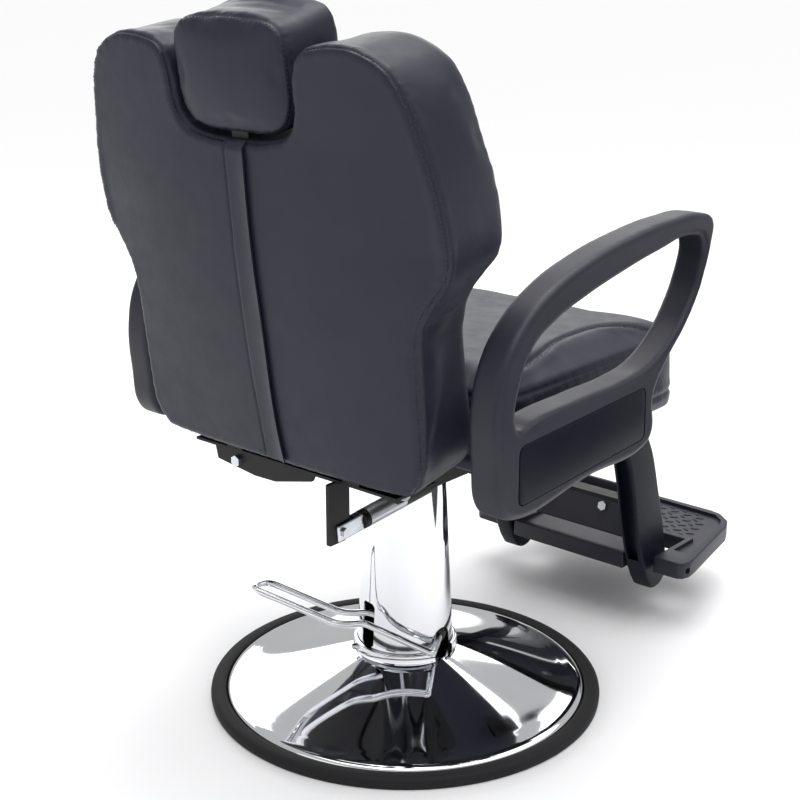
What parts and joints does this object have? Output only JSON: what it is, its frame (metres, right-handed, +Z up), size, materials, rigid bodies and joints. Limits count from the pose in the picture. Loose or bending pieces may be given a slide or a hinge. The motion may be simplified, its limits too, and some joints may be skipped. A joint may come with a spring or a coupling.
{
  "type": "hydraulic barber chair",
  "caption": "Hydraulic barber chair: chrome dish base, pump column with foot lever, padded seat, loop armrests, reclining back with sliding headrest, linked leg rest and foot tray.",
  "frame": {"origin": "on the column's axis at the floor, under the middle of the round base", "axes": "+Z up; the sitter faces -Y, the sitter's left hand is on +X and the right hand on -X"},
  "size_m": [0.69, 1.0438, 1.0495],
  "materials": {
    "chrome": "polished",
    "zinc": "satin",
    "black_steel": "satin",
    "black_plastic": "satin",
    "plywood": "matte",
    "rubber": "matte",
    "cast_iron": "matte",
    "leatherette": "satin",
    "foam": "satin"
  },
  "bodies": {
    "base": {"base_ring": "rubber", "base_dish": "chrome", "base_plate": "black_steel", "pump_body": "cast_iron", "column_sleeve": "chrome", "column_collar": "chrome", "collar_screw": "chrome", "sleeve_bush": "black_plastic"},
    "pump_lever": {"foot_lever_bar": "chrome", "foot_lever_shaft": "zinc"},
    "ram": {"ram": "chrome"},
    "seat": {"seat_hub": "black_steel", "seat_plate": "black_steel", "seat_cross_front": "black_steel", "seat_cross_rear": "black_steel", "seat_rail_left": "black_steel", "seat_rail_right": "black_steel", "hinge_pin_left": "zinc", "hinge_pin_right": "zinc", "footrest_pin_left": "zinc", "footrest_pin_right": "zinc", "seat_board": "plywood", "seat_cushion": "foam", "arm_left": "black_plastic", "arm_right": "black_plastic", "arm_panel_left": "black_plastic", "arm_panel_right": "black_plastic", "arm_bracket_left": "black_steel", "arm_bracket_right": "black_steel"},
    "backrest": {"back_frame": "black_steel", "recline_arm": "black_steel", "back_bolt": "zinc", "back_board": "plywood", "back_cushion": "foam", "back_cover": "leatherette", "headrest_guide": "black_steel"},
    "headrest": {"headrest_bar": "black_steel", "headrest_board": "plywood", "headrest_cushion": "foam"},
    "gas_rod": {"gas_rod": "chrome", "gas_head": "black_steel"},
    "gas_cylinder": {"gas_cylinder": "black_steel", "gas_clevis": "zinc", "gas_bolt": "zinc"},
    "footrest": {"footrest_leg_left": "black_plastic", "footrest_leg_right": "black_plastic", "footrest_crossbar": "black_steel", "calf_panel": "black_plastic", "panel_bolt_left": "zinc", "panel_bolt_right": "zinc", "tread_rod": "zinc", "link_pin": "zinc"},
    "footplate": {"footplate": "black_plastic"},
    "recline_link": {"recline_link": "black_steel"},
    "release_lever": {"release_lever": "black_steel", "release_knob": "black_plastic"}
  },
  "joints": [
    {"name": "lift", "type": "slide", "parent": "base", "child": "ram", "axis": [0, 0, 1], "range_m": [0, 0.15]},
    {"name": "swivel", "type": "hinge", "parent": "ram", "child": "seat", "pos_m": [0, 0, 0.38], "axis": [0, 0, 1], "continuous": true},
    {"name": "foot_pump", "type": "hinge", "parent": "base", "child": "pump_lever", "pos_m": [-0.05023, -0.029, 0.106], "axis": [-0.5, 0.866, 0], "range_deg": [0, 20], "stiffness_Nm_per_rad": 8, "springref_deg": -20.05},
    {"name": "recline", "type": "hinge", "parent": "seat", "child": "backrest", "pos_m": [0, 0.19, 0.414], "axis": [-1, 0, 0], "range_deg": [0, 45]},
    {"name": "headrest_slide", "type": "slide", "parent": "backrest", "child": "headrest", "axis": [0, 0.1435, 0.9897], "range_m": [0, 0.12]},
    {"name": "footrest_swing", "type": "hinge", "parent": "seat", "child": "footrest", "pos_m": [0, -0.325, 0.402], "axis": [-1, 0, 0], "range_deg": [0, 45]},
    {"name": "link_turn", "type": "hinge", "parent": "footrest", "child": "recline_link", "pos_m": [0.106, -0.315, 0.382], "axis": [-1, 0, 0], "range_deg": [-45, 0]},
    {"name": "gas_swing", "type": "hinge", "parent": "seat", "child": "gas_rod", "pos_m": [-0.08, -0.045, 0.376], "axis": [-1, 0, 0], "range_deg": [0, 4.3]},
    {"name": "gas_stroke", "type": "slide", "parent": "gas_rod", "child": "gas_cylinder", "axis": [0, -0.9965, 0.084], "range_m": [0, 0.0519]},
    {"name": "tray_fold", "type": "hinge", "parent": "footrest", "child": "footplate", "pos_m": [0, -0.47, 0.0995], "axis": [-1, 0, 0], "range_deg": [0, 60]},
    {"name": "recline_release", "type": "hinge", "parent": "seat", "child": "release_lever", "pos_m": [0.1471, 0.02, 0.403], "axis": [-1, 0, 0], "range_deg": [0, 15], "stiffness_Nm_per_rad": 3, "springref_deg": -14.32}
  ],
  "couplings": [
    {"joint": "footrest_swing", "follows": "recline", "ratio": 1},
    {"joint": "link_turn", "follows": "recline", "ratio": -1},
    {"joint": "gas_swing", "follows": "recline", "ratio": 0.0945},
    {"joint": "gas_stroke", "follows": "recline", "m_per_rad": 0.066}
  ]
}
